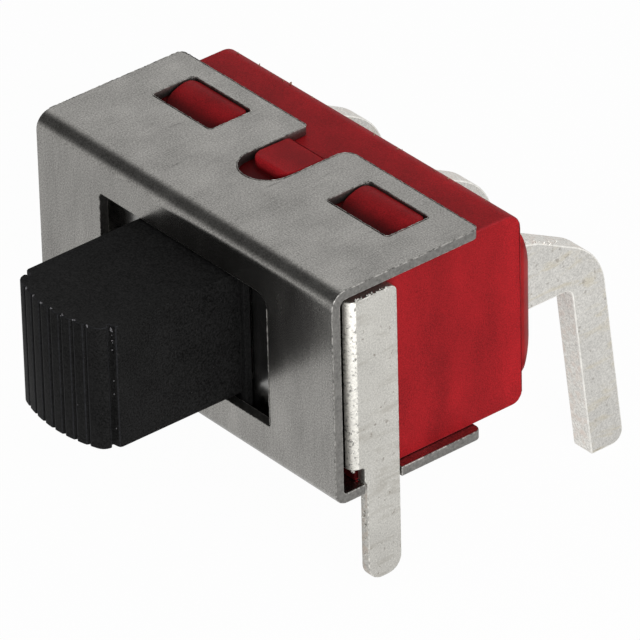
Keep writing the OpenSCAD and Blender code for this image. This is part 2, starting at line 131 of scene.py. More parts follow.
def add(tree, kind, links=None, values=None, **settings):
    """Adds a node, sets its properties and input values, and links nodes or sockets to it."""
    node = tree.nodes.new(kind)
    for key, value in settings.items():
        setattr(node, key, value)
    for key, value in (values or {}).items():
        node.inputs[key].default_value = value
    for key, source in (links or {}).items():
        tree.links.new(output(source), node.inputs[key])
    return node


def span(low, high, to_low, to_high):
    """Values of a Map Range node: the stretch that it takes in, and what it turns it into."""
    return {"From Min": low, "From Max": high, "To Min": to_low, "To Max": to_high}


def start_material(name):
    """A new material with one Principled shader on its output, and its Object coordinates."""
    material = bpy.data.materials.new(name)
    material.use_nodes = True
    tree = material.node_tree
    tree.nodes.clear()
    shader = add(tree, "ShaderNodeBsdfPrincipled")
    add(tree, "ShaderNodeOutputMaterial", {"Surface": shader})
    place = add(tree, "ShaderNodeTexCoord").outputs["Object"]
    return material, tree, shader, place


def set_finish(tree, shader, colour, values, height=None, depth=0.0, strength=0.5):
    """Gives the shader its colour, its even values and, from a height, its relief."""
    tree.links.new(output(colour), shader.inputs["Base Color"])
    for key, value in values.items():
        shader.inputs[key].default_value = value
    if height:
        relief = add(tree, "ShaderNodeBump", {"Height": height}, {"Distance": depth, "Strength": strength})
        tree.links.new(output(relief), shader.inputs["Normal"])


# Sheet metal


def cold_rolled_stainless(tone):
    """Faces of the cover."""
    # Stainless strip, cold rolled and tumbled: an even mid-grey satin that mirrors softly what
    # stands close to it, with lines along the strip and a few hairline scratches
    material, tree, shader, place = start_material("cold_rolled_stainless")
    strip = add(tree, "ShaderNodeMapping", {"Vector": place}, {"Scale": (1.0, 0.06, 0.06)})
    # Rolling lines 0.08 mm apart, some ten times coarser than real ones so that they show, and
    # scratches twice as far apart
    lines = add(tree, "ShaderNodeTexNoise", {"Vector": strip}, {"Scale": 12.5 / MM, "Detail": 3.0})
    # Tumbled grain of 0.045 mm and handling clouds of 1.2 mm, drawn out upright on the front
    grain = add(
        tree,
        "ShaderNodeTexNoise",
        {"Vector": place},
        {"Scale": 22 / MM, "Detail": 3.0, "Roughness": 0.65},
    )
    upright = add(tree, "ShaderNodeMapping", {"Vector": place}, {"Scale": (1.0, 1.0, 0.4)})
    cloud = add(tree, "ShaderNodeTexNoise", {"Vector": upright}, {"Scale": 0.8 / MM, "Detail": 5.0})
    short = add(
        tree,
        "ShaderNodeMapping",
        {"Vector": place},
        {"Scale": (1.0, 0.09, 0.09), "Location": (0.003, 0.0, 0.0)},
    )
    scratch = add(tree, "ShaderNodeTexNoise", {"Vector": short}, {"Scale": 7.2 / MM, "Detail": 1.0})
    level = add(tree, "ShaderNodeMath", {0: grain}, {1: 2.3, 2: -0.66}, operation="MULTIPLY_ADD")
    level = add(tree, "ShaderNodeMath", {0: lines, 2: level}, {1: 0.32}, operation="MULTIPLY_ADD")
    level = add(tree, "ShaderNodeMath", {0: cloud, 2: level}, {1: 0.8}, operation="MULTIPLY_ADD")
    hairline = add(tree, "ShaderNodeMapRange", {"Value": scratch}, span(0.74, 0.78, 1.0, 0.72))
    level = add(tree, "ShaderNodeMath", {0: level, 1: hairline}, operation="MULTIPLY")
    shade = add(tree, "ShaderNodeVectorMath", {"Scale": level}, {0: tone}, operation="SCALE")
    set_finish(tree, shader, shade, {"Metallic": 1.0}, grain, 0.0012 * MM)
    sheen = add(tree, "ShaderNodeMapRange", {"Value": cloud}, span(0.3, 0.7, 0.23, 0.28))
    tree.links.new(output(sheen), shader.inputs["Roughness"])
    return material


def sheared_stainless(tone):
    """Walls that the punch and the shear left through the cover's sheet."""
    # Stainless cut by a punch: streaks through the sheet, bright where the tool burnished it and
    # dark where it tore
    material, tree, shader, place = start_material("sheared_stainless")
    torn = add(
        tree,
        "ShaderNodeTexNoise",
        {"Vector": place},
        {"Scale": 13 / MM, "Detail": 4.0, "Roughness": 0.65},
    )
    # Tool marks 0.12 mm apart
    marks = add(tree, "ShaderNodeTexNoise", {"Vector": place}, {"Scale": 8 / MM, "Detail": 1.0})
    level = add(tree, "ShaderNodeMath", {0: torn}, {1: 1.4, 2: 0.1}, operation="MULTIPLY_ADD")
    level = add(tree, "ShaderNodeMath", {0: marks, 2: level}, {1: 0.3}, operation="MULTIPLY_ADD")
    shade = add(
        tree, "ShaderNodeVectorMath", {"Scale": level}, {0: [v * 0.6 for v in tone]}, operation="SCALE"
    )
    set_finish(tree, shader, shade, {"Metallic": 1.0, "Roughness": 0.42}, torn, 0.01 * MM, 0.6)
    return material


def rubbed_edge(name, tone, low, high):
    """Narrow eased edges, where the plating or the satin is rubbed off."""
    # Metal edge burnished by tumbling and handling: a thin bright line that breaks off where the
    # edge is nicked
    material, tree, shader, place = start_material(name)
    nicks = add(
        tree,
        "ShaderNodeTexNoise",
        {"Vector": place},
        {"Scale": 9 / MM, "Detail": 4.0, "Roughness": 0.6},
    )
    level = add(tree, "ShaderNodeMapRange", {"Value": nicks}, span(0.38, 0.62, low, high))
    shade = add(tree, "ShaderNodeVectorMath", {"Scale": level}, {0: tone}, operation="SCALE")
    set_finish(tree, shader, shade, {"Metallic": 1.0, "Roughness": 0.42})
    return material


def torn_tin(tone):
    """Torn fringe on the cut edges of the bracket."""
    # Tin plate torn by the shear: a frosty fringe that scatters the light more than it mirrors
    material, tree, shader, place = start_material("torn_tin")
    frost = add(
        tree,
        "ShaderNodeTexNoise",
        {"Vector": place},
        {"Scale": 9 / MM, "Detail": 3.0, "Roughness": 0.6},
    )
    level = add(tree, "ShaderNodeMapRange", {"Value": frost}, span(0.35, 0.65, 0.75, 1.15))
    shade = add(tree, "ShaderNodeVectorMath", {"Scale": level}, {0: tone}, operation="SCALE")
    set_finish(tree, shader, shade, {"Metallic": 0.35, "Roughness": 0.55})
    return material


def tin_plate(name, tone, stain, smear, spots):
    """Flat faces of the bracket and of the terminals."""
    # Dull tin plate on strip: pale, soft and slightly warm, with wiped smears where it was
    # handled, a few brown freckles and a fine crystalline grain
    material, tree, shader, place = start_material(name)
    # Crystals 0.05 mm across, smears 0.35 mm wide drawn out along a slant
    grain = add(
        tree,
        "ShaderNodeTexNoise",
        {"Vector": place},
        {"Scale": 20 / MM, "Detail": 3.0, "Roughness": 0.65},
    )
    cloud = add(tree, "ShaderNodeTexNoise", {"Vector": place}, {"Scale": 0.9 / MM, "Detail": 4.0})
    slant = add(
        tree,
        "ShaderNodeMapping",
        {"Vector": place},
        {"Rotation": (-0.42, 0.0, 0.0), "Scale": (1.0, 0.3, 1.0)},
    )
    wipes = add(
        tree,
        "ShaderNodeTexNoise",
        {"Vector": slant},
        {"Scale": 2.6 / MM, "Detail": 5.0, "Roughness": 0.62, "Distortion": 0.4},
    )
    freckles = add(tree, "ShaderNodeTexNoise", {"Vector": place}, {"Scale": 5.2 / MM, "Detail": 2.0})
    level = add(tree, "ShaderNodeMath", {0: grain}, {1: 1.1, 2: 0.3}, operation="MULTIPLY_ADD")
    level = add(tree, "ShaderNodeMath", {0: cloud, 2: level}, {1: 0.3}, operation="MULTIPLY_ADD")
    shade = add(tree, "ShaderNodeVectorMath", {"Scale": level}, {0: tone}, operation="SCALE")
    wiped = add(tree, "ShaderNodeMapRange", {"Value": wipes}, span(0.52, 0.64, 0.0, smear))
    dulled = add(
        tree, "ShaderNodeMix", {SHARE: wiped, FIRST: shade}, {SECOND: rgba(stain)}, data_type="RGBA"
    )
    dots = add(tree, "ShaderNodeMapRange", {"Value": freckles}, span(0.66, 0.72, 0.0, spots))
    freckled = add(
        tree,
        "ShaderNodeMix",
        {SHARE: dots, FIRST: dulled.outputs[MIXED]},
        {SECOND: rgba("#6e6358")},
        data_type="RGBA",
    )
    colour = freckled.outputs[MIXED]
    set_finish(tree, shader, colour, {"Metallic": 1.0, "Roughness": 0.42}, grain, 0.0012 * MM)
    return material


def bend_painted_highlight(tone):
    """Outside of the bracket's bends, with a painted highlight."""
    # Painted highlight on the tin: the colour lifted to nearly white, with dark pits where the plating
    # tore
    material, tree, shader, place = start_material("tin_bend_painted_highlight")
    grain = add(
        tree,
        "ShaderNodeTexNoise",
        {"Vector": place},
        {"Scale": 14 / MM, "Detail": 4.0, "Roughness": 0.7},
    )
    pits = add(
        tree,
        "ShaderNodeTexNoise",
        {"Vector": place},
        {"Scale": 6.5 / MM, "Detail": 4.0, "Roughness": 0.7},
    )
    level = add(tree, "ShaderNodeMath", {0: grain}, {1: 1.3, 2: 0.32}, operation="MULTIPLY_ADD")
    pitted = add(tree, "ShaderNodeMapRange", {"Value": pits}, span(0.55, 0.63, 1.0, 0.35))
    level = add(tree, "ShaderNodeMath", {0: level, 1: pitted}, operation="MULTIPLY")
    shade = add(
        tree,
        "ShaderNodeVectorMath",
        {"Scale": level},
        {0: [min(v * 1.5, 0.97) for v in tone]},
        operation="SCALE",
    )
    set_finish(tree, shader, shade, {"Metallic": 1.0, "Roughness": 0.55})
    return material


def sheared_strip(name, tone, warm):
    """Cut faces of the plated strip."""
    # Sheared strip, plated after cutting: mottled and a little pink where the base metal shines
    # through, rougher than the faces
    material, tree, shader, place = start_material(name)
    # Tears 0.06 mm and 0.2 mm across
    fine = add(
        tree,
        "ShaderNodeTexNoise",
        {"Vector": place},
        {"Scale": 16 / MM, "Detail": 4.0, "Roughness": 0.7},
    )
    patches = add(tree, "ShaderNodeTexNoise", {"Vector": place}, {"Scale": 4.5 / MM, "Detail": 3.0})
    level = add(tree, "ShaderNodeMath", {0: fine}, {1: 1.5, 2: 0.18}, operation="MULTIPLY_ADD")
    shade = add(tree, "ShaderNodeVectorMath", {"Scale": level}, {0: tone}, operation="SCALE")
    share = add(tree, "ShaderNodeMapRange", {"Value": patches}, span(0.45, 0.7, 0.0, 0.6))
    mottled = add(
        tree, "ShaderNodeMix", {SHARE: share, FIRST: shade}, {SECOND: rgba(warm)}, data_type="RGBA"
    )
    colour = mottled.outputs[MIXED]
    set_finish(tree, shader, colour, {"Metallic": 1.0, "Roughness": 0.45}, fine, 0.01 * MM, 0.6)
    return material


def bright_strip():
    """Web of the bracket behind the window."""
    # Tin plate left bright where the cover shields it: nearly a mirror, so it shows the dark
    # inside of the switch and only a gleam of the room
    material, tree, shader, place = start_material("bright_tin_plate")
    wave = add(tree, "ShaderNodeTexNoise", {"Vector": place}, {"Scale": 1.5 / MM, "Detail": 2.0})
    level = add(tree, "ShaderNodeMapRange", {"Value": wave}, span(0.3, 0.7, 0.85, 1.05))
    shade = add(
        tree, "ShaderNodeVectorMath", {"Scale": level}, {0: linear("#a9a8a6")}, operation="SCALE"
    )
    set_finish(tree, shader, shade, {"Metallic": 1.0})
    sheen = add(tree, "ShaderNodeMapRange", {"Value": wave}, span(0.3, 0.7, 0.14, 0.26))
    tree.links.new(output(sheen), shader.inputs["Roughness"])
    return material


# Mouldings


def moulded_thermoset(red):
    """Faces of the housing."""
    # Glass-filled thermoset, compression moulded: deep red with a soft sheen, cloudy where the
    # charge flowed, darker on the line where its two streams met, lighter towards the rear rim;
    # painted shade darkens the roof in the cover's openings and the inner front rim
    material, tree, shader, place = start_material("moulded_thermoset")
    # Depths in millimetres: the line where the streams met, the start of the rear rim, the end
    # of the cover's openings, and the front rim
    weld_y, rim_y, open_y, front_y = 4.1, 5.9, 4.05, 1.9
    grain = add(
        tree,
        "ShaderNodeTexNoise",
        {"Vector": place},
        {"Scale": 27 / MM, "Detail": 3.0, "Roughness": 0.65},
    )
    # Flow clouds about 1 mm across and twice as tall
    tall = add(tree, "ShaderNodeMapping", {"Vector": place}, {"Scale": (1.0, 1.0, 0.5)})
    cloud = add(
        tree,
        "ShaderNodeTexNoise",
        {"Vector": tall},
        {"Scale": 1 / MM, "Detail": 4.0, "Roughness": 0.55},
    )
    level = add(tree, "ShaderNodeMath", {0: grain}, {1: 2.0, 2: -0.38}, operation="MULTIPLY_ADD")
    level = add(tree, "ShaderNodeMath", {0: cloud, 2: level}, {1: 0.76}, operation="MULTIPLY_ADD")
    axes = add(tree, "ShaderNodeSeparateXYZ", {"Vector": place}).outputs
    off = add(tree, "ShaderNodeMath", {0: axes["Y"]}, {1: weld_y * MM}, operation="SUBTRACT")
    away = add(tree, "ShaderNodeMath", {0: off}, operation="ABSOLUTE")
    wavering = add(tree, "ShaderNodeMath", {0: cloud, 2: away}, {1: 0.9 * MM}, operation="MULTIPLY_ADD")
    weld = add(
        tree,
        "ShaderNodeMapRange",
        {"Value": wavering},
        span(0.35 * MM, 1.15 * MM, 0.8, 1.0),
        interpolation_type="SMOOTHSTEP",
    )
    rim = add(
        tree,
        "ShaderNodeMapRange",
        {"Value": axes["Y"]},
        span(rim_y * MM, (rim_y + 0.8) * MM, 1.0, 1.2),
        interpolation_type="SMOOTHSTEP",
    )
    level = add(tree, "ShaderNodeMath", {0: level, 1: weld}, operation="MULTIPLY")
    level = add(tree, "ShaderNodeMath", {0: level, 1: rim}, operation="MULTIPLY")
    # Painted shade in the cover's openings: dark on the roof, lighter again up the wedges
    risen = add(
        tree,
        "ShaderNodeMapRange",
        {"Value": axes["Z"]},
        span((HOUSING_ROOF + 0.03) * MM, (HOUSING_ROOF + 0.28) * MM, 0.22, 1.05),
        interpolation_type="SMOOTHSTEP",
    )
    roof = add(
        tree,
        "ShaderNodeMapRange",
        {"Value": axes["Z"]},
        span((HOUSING_ROOF - 0.04) * MM, (HOUSING_ROOF - 0.01) * MM, 0.0, 1.0),
    )
    covered = add(
        tree,
        "ShaderNodeMapRange",
        {"Value": axes["Y"]},
        span(open_y * MM, (open_y + 0.45) * MM, 1.0, 0.0),
    )
    under = add(tree, "ShaderNodeMath", {0: roof, 1: covered}, operation="MULTIPLY")
    painted_recess_shade = add(tree, "ShaderNodeMix", {"Factor": under, "B": risen}, {"A": 1.0}, data_type="FLOAT")
    # Painted shade on the inner front rim, shut in behind the sheet
    shut_in_shade = add(
        tree,
        "ShaderNodeMapRange",
        {"Value": axes["Y"]},
        span(front_y * MM, (front_y + 0.6) * MM, 0.12, 1.0),
    )
    level = add(tree, "ShaderNodeMath", {0: level, 1: painted_recess_shade}, operation="MULTIPLY")
    level = add(tree, "ShaderNodeMath", {0: level, 1: shut_in_shade}, operation="MULTIPLY")
    shade = add(tree, "ShaderNodeVectorMath", {"Scale": level}, {0: red}, operation="SCALE")
    set_finish(tree, shader, shade, {"Roughness": 0.5, "Specular IOR Level": 0.08}, grain, 0.005 * MM)
    return material


def rubbed_thermoset(red):
    """Eased edges of the housing."""
    # Thermoset rubbed at its edges: chalkier and a shade paler, with small chips
    material, tree, shader, place = start_material("rubbed_thermoset")
    chips = add(
        tree,
        "ShaderNodeTexNoise",
        {"Vector": place},
        {"Scale": 11 / MM, "Detail": 4.0, "Roughness": 0.65},
    )
    level = add(tree, "ShaderNodeMapRange", {"Value": chips}, span(0.35, 0.65, 0.8, 1.2))
    shade = add(
        tree,
        "ShaderNodeVectorMath",
        {"Scale": level},
        {0: [red[0] * 1.05, red[1] * 1.5, red[2] * 1.5]},
        operation="SCALE",
    )
    set_finish(tree, shader, shade, {"Roughness": 0.55, "Specular IOR Level": 0.15})
    return material


def moulded_nylon(black):
    """Faces of the knob and its carriage."""
    # Black nylon, injection moulded: very dark with a faint satin sheen, a fine spark-eroded
    # grain and stray pale dust
    material, tree, shader, place = start_material("moulded_nylon")
    grain = add(
        tree,
        "ShaderNodeTexNoise",
        {"Vector": place},
        {"Scale": 20 / MM, "Detail": 3.0, "Roughness": 0.7},
    )
    cloud = add(tree, "ShaderNodeTexNoise", {"Vector": place}, {"Scale": 1.1 / MM, "Detail": 3.0})
    dust = add(tree, "ShaderNodeTexNoise", {"Vector": place}, {"Scale": 12.5 / MM, "Detail": 1.0})
    level = add(tree, "ShaderNodeMath", {0: grain}, {1: 5.4, 2: -2.1}, operation="MULTIPLY_ADD")
    level = add(tree, "ShaderNodeMath", {0: cloud, 2: level}, {1: 0.8}, operation="MULTIPLY_ADD")
    shade = add(tree, "ShaderNodeVectorMath", {"Scale": level}, {0: black}, operation="SCALE")
    motes = add(tree, "ShaderNodeMapRange", {"Value": dust}, span(0.77, 0.83, 0.0, 0.3))
    dusty = add(
        tree, "ShaderNodeMix", {SHARE: motes, FIRST: shade}, {SECOND: rgba("#6a6866")}, data_type="RGBA"
    )
    values = {"Roughness": 0.5, "Specular IOR Level": 0.05}
    set_finish(tree, shader, dusty.outputs[MIXED], values, grain, 0.012 * MM, 0.7)
    return material


def nylon_burr():
    """Burrs along the knob's parting edges."""
    # Nylon drawn out thin and whitened where the mould halves met: small pale-grey specks
    material, tree, shader, place = start_material("nylon_burr")
    grain = add(tree, "ShaderNodeTexNoise", {"Vector": place}, {"Scale": 30 / MM, "Detail": 2.0})
    shade = add(
        tree,
        "ShaderNodeMix",
        {SHARE: grain},
        {FIRST: rgba("#3a393b"), SECOND: rgba("#8a898c")},
        data_type="RGBA",
    )
    set_finish(tree, shader, shade.outputs[MIXED], {"Roughness": 0.5})
    return material


def rubbed_nylon_painted_glint(black):
    """Eased edges of the knob, with a painted bluish glint."""
    # Nylon polished by fingers, with a painted bluish glint: the edges' colour is lightened up to twice
    # over and tinted blue
    material, tree, shader, place = start_material("rubbed_nylon_painted_glint")
    grain = add(tree, "ShaderNodeTexNoise", {"Vector": place}, {"Scale": 12 / MM, "Detail": 3.0})
    level = add(tree, "ShaderNodeMapRange", {"Value": grain}, span(0.35, 0.65, 0.8, 2.2))
    shade = add(
        tree,
        "ShaderNodeVectorMath",
        {"Scale": level},
        {0: [black[0], black[1] * 1.03, black[2] * 1.15]},
        operation="SCALE",
    )
    set_finish(tree, shader, shade, {"Roughness": 0.42, "Specular IOR Level": 0.1})
    return material


def epoxy_potting(colour):
    """Potting on the back of the housing."""
    # Epoxy poured round the terminals and cured: deep red, half glossy at its skin, cloudy
    # below, with soft swells about 1.3 mm across
    material, tree, shader, place = start_material("epoxy_potting")
    swell = add(tree, "ShaderNodeTexNoise", {"Vector": place}, {"Scale": 0.75 / MM, "Detail": 2.0})
    cloud = add(
        tree,
        "ShaderNodeTexNoise",
        {"Vector": place},
        {"Scale": 2 / MM, "Detail": 4.0, "Roughness": 0.6},
    )
    level = add(tree, "ShaderNodeMapRange", {"Value": cloud}, span(0.3, 0.7, 0.65, 1.35))
    shade = add(tree, "ShaderNodeVectorMath", {"Scale": level}, {0: colour}, operation="SCALE")
    set_finish(tree, shader, shade, {"Roughness": 0.28, "Specular IOR Level": 0.07}, swell, 0.03 * MM)
    return material


def moulding_flash():
    """Crumbs along the housing's rear edge and the cover's rim."""
    # Thin flash broken off the parting line: brown to straw crumbs with no gloss
    material, tree, shader, place = start_material("moulding_flash")
    grain = add(tree, "ShaderNodeTexNoise", {"Vector": place}, {"Scale": 9 / MM, "Detail": 2.0})
    shade = add(
        tree,
        "ShaderNodeMix",
        {SHARE: grain},
        {FIRST: rgba("#5a2a20"), SECOND: rgba("#b98f74")},
        data_type="RGBA",
    )
    set_finish(tree, shader, shade.outputs[MIXED], {"Roughness": 0.6})
    return material


def inner_metal(name, light, dark, roughness):
    """Small metal parts inside the housing; each call's comment says what its metal is."""
    material, tree, shader, place = start_material(name)
    # Grain of the drawn, rolled or turned surface, 0.05 mm, coarser than real so that it shows
    grain = add(
        tree,
        "ShaderNodeTexNoise",
        {"Vector": place},
        {"Scale": 20 / MM, "Detail": 3.0, "Roughness": 0.6},
    )
    shade = add(
        tree,
        "ShaderNodeMix",
        {SHARE: grain},
        {FIRST: rgba(dark), SECOND: rgba(light)},
        data_type="RGBA",
    )
    values = {"Metallic": 1.0, "Roughness": roughness}
    set_finish(tree, shader, shade.outputs[MIXED], values, grain, 0.003 * MM)
    return material


# Meshes


def link(name, mesh):
    """A new object at the origin, linked to the scene."""
    piece = bpy.data.objects.new(name, mesh)
    bpy.context.scene.collection.objects.link(piece)
    return piece


def settle(piece):
    """Applies every modifier of a piece and leaves one plain mesh."""
    bpy.context.view_layer.update()
    evaluated = piece.evaluated_get(bpy.context.evaluated_depsgraph_get())
    mesh = bpy.data.meshes.new_from_object(evaluated)
    mesh.name = piece.name
    piece.modifiers.clear()
    piece.data = mesh
    return piece


def merged(node):
    """A node's loose triangles, merged into flat faces again."""
    bm = bmesh.new()
    bm.from_mesh(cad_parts[node].data)
    shortest_edge, flat_turn = 0.006 * MM, math.radians(0.4)
    bmesh.ops.remove_doubles(bm, verts=bm.verts, dist=shortest_edge)
    bmesh.ops.dissolve_limit(bm, angle_limit=flat_turn, verts=bm.verts, edges=bm.edges)
    return bm


def sharp_edges(bm, angle=28):
    """Outward edges of a solid that turn by more than an angle."""
    limit = math.radians(angle)
    return [e for e in bm.edges if e.is_manifold and e.is_convex and e.calc_face_angle(0.0) > limit]


def eased(node, name, width, segments=2, bm=None, corner="MITER_ARC"):
    """A node's solid with its sharp edges eased; faces on those edges get slot 1, others slot 0."""
    bm = bm or merged(node)
    weight = bm.edges.layers.float.new("bevel_weight_edge")
    for edge in sharp_edges(bm):
        edge[weight] = 1.0
    mesh = bpy.data.meshes.new(name)
    bm.to_mesh(mesh)
    bm.free()
    mesh.materials.clear()
    for _ in range(2):
        mesh.materials.append(None)
    for face in mesh.polygons:
        face.use_smooth = True
        face.material_index = 0
    piece = link(name, mesh)
    bevel = piece.modifiers.new("Eased edges", "BEVEL")
    bevel.width = width
    bevel.segments = segments
    bevel.limit_method = "WEIGHT"
    bevel.use_clamp_overlap = False
    bevel.miter_outer = corner
    bevel.material = 1
    weighted = piece.modifiers.new("Flat faces", "WEIGHTED_NORMAL")
    weighted.keep_sharp = False
    return settle(piece)


def dress(piece, body, slot, materials, choose=None, stands_for=()):
    """Gives a piece its materials and its body, and hides the nodes that it stands for.

    choose picks a face's material by number, from the face's middle in millimetres, its normal
    and whether it lies on an eased edge.
    """
    on_edge = [face.material_index == 1 for face in piece.data.polygons]
    piece.data.materials.clear()
    for material in materials:
        piece.data.materials.append(material)
    for face, edge in zip(piece.data.polygons, on_edge):
        face.material_index = choose(face.center / MM, face.normal, edge) if choose else 0
    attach(piece, body)
    if stands_for:
        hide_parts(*stands_for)
    return piece


def strewn(corners, count, jitter, seed):
    """Points strewn along a path of corners in millimetres, given back in metres."""
    pick = random.Random(seed)
    path = [Vector(c) for c in corners]
    steps = [(b - a).length for a, b in zip(path, path[1:])]
    points = []
    for _ in range(count):
        left = pick.random() * sum(steps)
        for start, end, step in zip(path, path[1:], steps):
            if left <= step:
                point = start.lerp(end, left / max(step, 1e-9))
                break
            left -= step
        else:
            point = path[-1].copy()
        point += Vector([pick.uniform(-jitter, jitter) for _ in range(3)])
        points.append(point * MM)
    return points


# Geometry nodes


def new_tree(name, inputs):
    """A Geometry Nodes tree with named inputs; returns it with its two ends."""
    tree = bpy.data.node_groups.new(name, "GeometryNodeTree")
    tree.interface.new_socket("Geometry", in_out="INPUT", socket_type="NodeSocketGeometry")
    for label, kind, default in inputs:
        socket = tree.interface.new_socket(label, in_out="INPUT", socket_type=kind)
        if default is not None:
            socket.default_value = default
    tree.interface.new_socket("Geometry", in_out="OUTPUT", socket_type="NodeSocketGeometry")
    return tree, add(tree, "NodeGroupInput"), add(tree, "NodeGroupOutput")


def end_tree(tree, out, shape, material):
    """Ends a tree: its instances made real, with a material."""
    real = add(tree, "GeometryNodeRealizeInstances", {"Geometry": shape})
    done = add(tree, "GeometryNodeSetMaterial", {"Geometry": real, "Material": material})
    tree.links.new(output(done), out.inputs["Geometry"])


def crumb_tree():
    """A small broken crumb on each point, for burrs, torn edges and moulding flash."""
    tree, given, out = new_tree(
        "Crumbs on points",
        [
            ("Size", "NodeSocketFloat", 0.05 * MM),
            ("Length", "NodeSocketFloat", 1.0),
            ("Seed", "NodeSocketInt", 3),
            ("Material", "NodeSocketMaterial", None),
        ],
    )
    source = given.outputs
    crumb = add(tree, "GeometryNodeMeshIcoSphere", {"Radius": source["Size"]}, {"Subdivisions": 1})
    # Lumps of up to a quarter of the crumb's own size, then each crumb drawn out and turned
    ragged = add(tree, "ShaderNodeTexNoise", values={"Scale": 22 / MM})
    lumps = add(
        tree,
        "ShaderNodeVectorMath",
        {0: ragged.outputs["Color"]},
        {1: (0.5, 0.5, 0.5)},
        operation="SUBTRACT",
    )
    depth = add(tree, "ShaderNodeVectorMath", {0: lumps, "Scale": source["Size"]}, operation="SCALE")
    broken = add(tree, "GeometryNodeSetPosition", {"Geometry": crumb, "Offset": depth})
    drawn = add(tree, "ShaderNodeCombineXYZ", {"X": source["Length"]}, {"Y": 1.0, "Z": 1.0})
    shaped = add(tree, "GeometryNodeTransform", {"Geometry": broken, "Scale": drawn})
    turn = add(
        tree,
        "FunctionNodeRandomValue",
        {"Seed": source["Seed"]},
        {"Min": (0, 0, 0), "Max": (6.3, 6.3, 6.3)},
        data_type="FLOAT_VECTOR",
    )
    size = add(
        tree,
        "FunctionNodeRandomValue",
        {"Seed": source["Seed"]},
        {"Min": (0.3, 0.3, 0.25), "Max": (1.1, 0.9, 0.8)},
        data_type="FLOAT_VECTOR",
    )
    placed = add(
        tree,
        "GeometryNodeInstanceOnPoints",
        {"Points": source["Geometry"], "Instance": shaped, "Rotation": turn, "Scale": size},
    )
    end_tree(tree, out, placed, source["Material"])
    return tree


def burr_tree():
    """A thin uneven ridge along a path, as the punch raises it on a cut edge."""
    tree, given, out = new_tree(
        "Burr along a path",
        [
            ("Radius", "NodeSocketFloat", 0.014 * MM),
            ("Unevenness", "NodeSocketFloat", 0.012 * MM),
            ("Step", "NodeSocketFloat", 0.06 * MM),
            ("Seed", "NodeSocketInt", 1),
            ("Material", "NodeSocketMaterial", None),
        ],
    )
    source = given.outputs
    path = add(tree, "GeometryNodeMeshToCurve", {"Mesh": source["Geometry"]})
    even = add(
        tree, "GeometryNodeResampleCurve", {"Curve": path, "Length": source["Step"]}, mode="LENGTH"
    )
    stray = add(
        tree,
        "FunctionNodeRandomValue",
        {"Seed": source["Seed"]},
        {"Min": (-1, -1, -1), "Max": (1, 1, 1)},
        data_type="FLOAT_VECTOR",
    )
    shift = add(
        tree, "ShaderNodeVectorMath", {0: stray, "Scale": source["Unevenness"]}, operation="SCALE"
    )
    uneven = add(tree, "GeometryNodeSetPosition", {"Geometry": even, "Offset": shift})
    section = add(
        tree,
        "GeometryNodeCurvePrimitiveCircle",
        {"Radius": source["Radius"]},
        {"Resolution": 6},
        mode="RADIUS",
    )
    ridge = add(
        tree,
        "GeometryNodeCurveToMesh",
        {"Curve": uneven, "Profile Curve": section},
        {"Fill Caps": True},
    )
    end_tree(tree, out, ridge, source["Material"])
    return tree


def coil_tree():
    """Round wire wound along a helix, then laid along +Y."""
    tree, given, out = new_tree(
        "Wound wire",
        [
            ("Turns", "NodeSocketFloat", 6.0),
            ("Radius", "NodeSocketFloat", 0.34 * MM),
            ("Height", "NodeSocketFloat", 1.2 * MM),
            ("Wire", "NodeSocketFloat", 0.06 * MM),
            ("Start", "NodeSocketVector", None),
            ("Material", "NodeSocketMaterial", None),
        ],
    )
    source = given.outputs
    helix = add(
        tree,
        "GeometryNodeCurveSpiral",
        {
            "Rotations": source["Turns"],
            "Start Radius": source["Radius"],
            "End Radius": source["Radius"],
            "Height": source["Height"],
        },
        {"Resolution": 28},
    )
    ring = add(
        tree,
        "GeometryNodeCurvePrimitiveCircle",
        {"Radius": source["Wire"]},
        {"Resolution": 12},
        mode="RADIUS",
    )
    wire = add(
        tree, "GeometryNodeCurveToMesh", {"Curve": helix, "Profile Curve": ring}, {"Fill Caps": True}
    )
    laid = add(
        tree,
        "GeometryNodeTransform",
        {"Geometry": wire, "Translation": source["Start"]},
        {"Rotation": (-math.pi / 2, 0, 0)},
    )
    end_tree(tree, out, laid, source["Material"])
    return tree


def grown(name, tree, points, values, body, stands_for=(), edges=()):
    """A piece grown by a tree from points in metres, with the tree's inputs set by identifier."""
    mesh = bpy.data.meshes.new(name)
    mesh.from_pydata(points, edges, [])
    piece = link(name, mesh)
    modifier = piece.modifiers.new("Grown", "NODES")
    modifier.node_group = tree
    for item in tree.interface.items_tree:
        if item.item_type == "SOCKET" and item.in_out == "INPUT" and item.name in values:
            modifier[item.identifier] = values[item.name]
    settle(piece)
    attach(piece, body)
    if stands_for:
        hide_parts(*stands_for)
    return piece


# Settings


